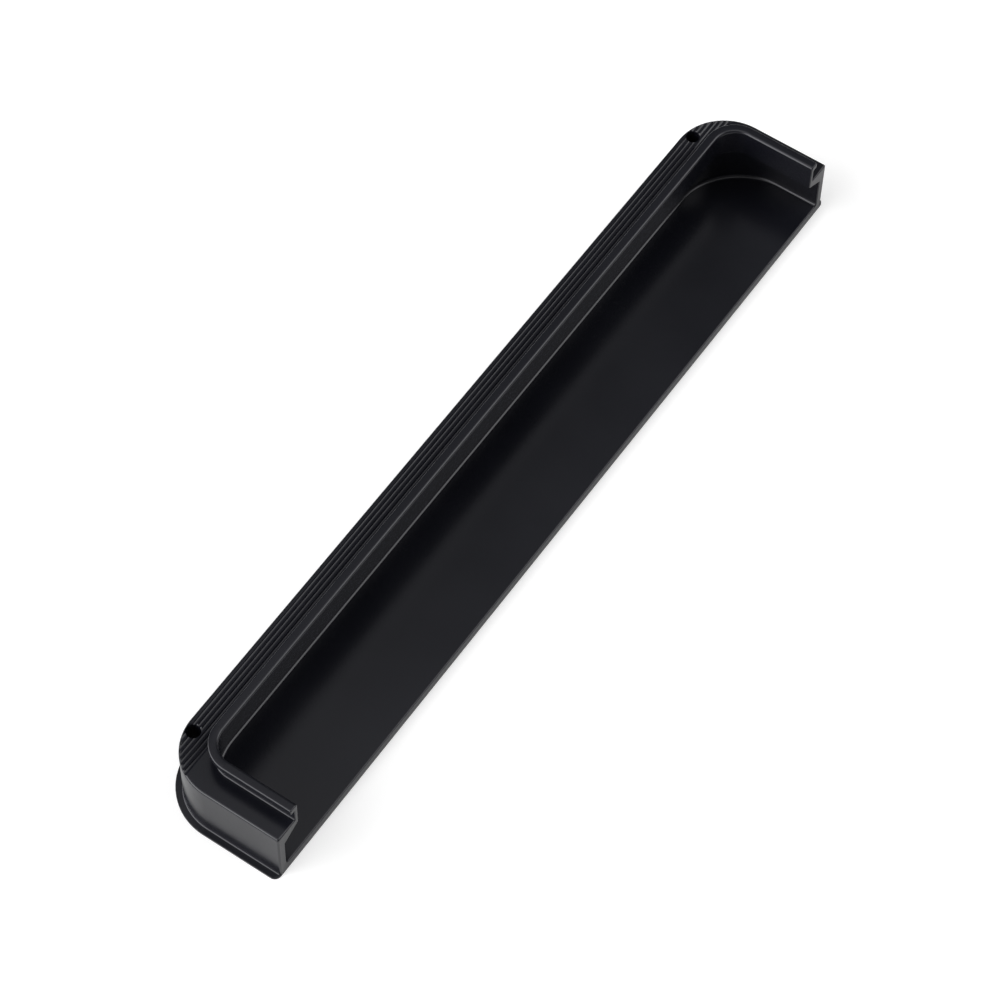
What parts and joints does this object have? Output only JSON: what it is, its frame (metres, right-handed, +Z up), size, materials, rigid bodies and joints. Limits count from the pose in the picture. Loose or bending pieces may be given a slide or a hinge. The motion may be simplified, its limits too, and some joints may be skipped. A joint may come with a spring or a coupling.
{
  "type": "recessed pull handle",
  "caption": "Black recessed edge pull with an open-sided finger pocket, a grooved ledge and a hooked lip.",
  "frame": {"origin": "middle of the flat underside", "axes": "+X along the handle, +Y towards the closed back wall, +Z up from the underside to the lip"},
  "size_m": [0.203, 0.0316, 0.02],
  "materials": {
    "black_finish": "satin"
  },
  "bodies": {
    "root": {"pull_handle": "black_finish"}
  },
  "joints": []
}
